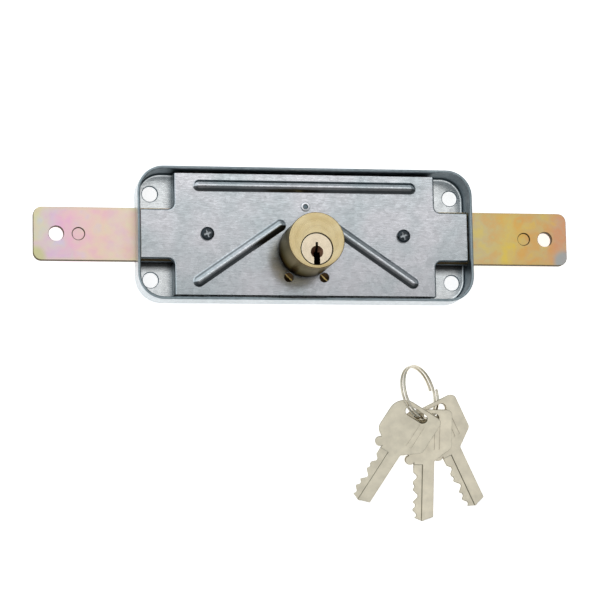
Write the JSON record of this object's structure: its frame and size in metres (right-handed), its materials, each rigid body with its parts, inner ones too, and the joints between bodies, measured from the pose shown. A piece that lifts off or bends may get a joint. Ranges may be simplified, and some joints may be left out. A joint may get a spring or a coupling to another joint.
{
  "type": "rolling shutter box lock",
  "caption": "Shallow pressed-steel box lock with a recessed ribbed cover, a brass key cylinder and opposed flat bolts that a rack and pinion drives, with keys on a split ring.",
  "frame": {"origin": "middle of the case's back face, on the surface that the lock lies on", "axes": "+X along the case towards the right bolt, +Y up across the case as the picture shows it, +Z along the cylinder towards its face"},
  "size_m": [0.227, 0.1471, 0.0347],
  "materials": {
    "galvanised": "galvanised, fine rolled grain",
    "yellow_zinc": "yellow passivated zinc with an iridescent bloom",
    "brass": "turned brass",
    "nickel": "nickel silver, satin",
    "steel": "plain steel",
    "black_zinc": "black zinc"
  },
  "bodies": {
    "lock_case": {"case": "galvanised", "cover": "galvanised", "cylinder_housing": "brass", "driver_pins": "brass", "pin_springs": "steel", "chamber_caps": "brass", "pinion_bush": "brass", "backing_plate": "steel", "backing_rivet": "galvanised", "guide_screws": "brass", "cover_pillars": "steel", "cover_screws": "black_zinc", "cylinder_screws": "steel"},
    "plug": {"cylinder_plug": "nickel", "key_pins": "brass", "plug_circlip": "steel", "drive_pinion": "steel"},
    "left_bolt": {"left_bolt": "yellow_zinc"},
    "right_bolt": {"right_bolt": "yellow_zinc"},
    "ring": {"key_ring": "nickel"},
    "left_key": {"key_left": "nickel"},
    "middle_key": {"key_middle": "nickel"},
    "right_key": {"key_right": "nickel"}
  },
  "joints": [
    {"name": "plug_turn", "type": "hinge", "parent": "lock_case", "child": "plug", "pos_m": [0, -0.0098, 0.02], "axis": [0, 0, 1], "range_deg": [-360, 0]},
    {"name": "left_bolt_slide", "type": "slide", "parent": "lock_case", "child": "left_bolt", "axis": [1, 0, 0], "range_m": [0, 0.0201]},
    {"name": "right_bolt_slide", "type": "slide", "parent": "lock_case", "child": "right_bolt", "axis": [1, 0, 0], "range_m": [-0.0202, 0]},
    {"name": "keys_lift", "type": "slide", "parent": "lock_case", "child": "ring", "axis": [0, 0, 1], "range_m": [0, 0.08]},
    {"name": "left_key_swing", "type": "hinge", "parent": "ring", "child": "left_key", "pos_m": [0.04476, -0.0759, 0.01406], "axis": [-0.1593, -0.255, 0.9537], "range_deg": [-10, 0]},
    {"name": "middle_key_swing", "type": "hinge", "parent": "ring", "child": "middle_key", "pos_m": [0.05028, -0.07682, 0.00958], "axis": [0, -0.196, 0.9806], "range_deg": [-3, 3]},
    {"name": "right_key_swing", "type": "hinge", "parent": "ring", "child": "right_key", "pos_m": [0.05398, -0.07397, 0.00579], "axis": [0.0481, -0.0986, 0.994], "range_deg": [0, 10]}
  ],
  "couplings": [
    {"joint": "plug_turn", "follows": "left_bolt_slide", "rad_per_m": -312.5},
    {"joint": "right_bolt_slide", "follows": "left_bolt_slide", "ratio": -1}
  ]
}
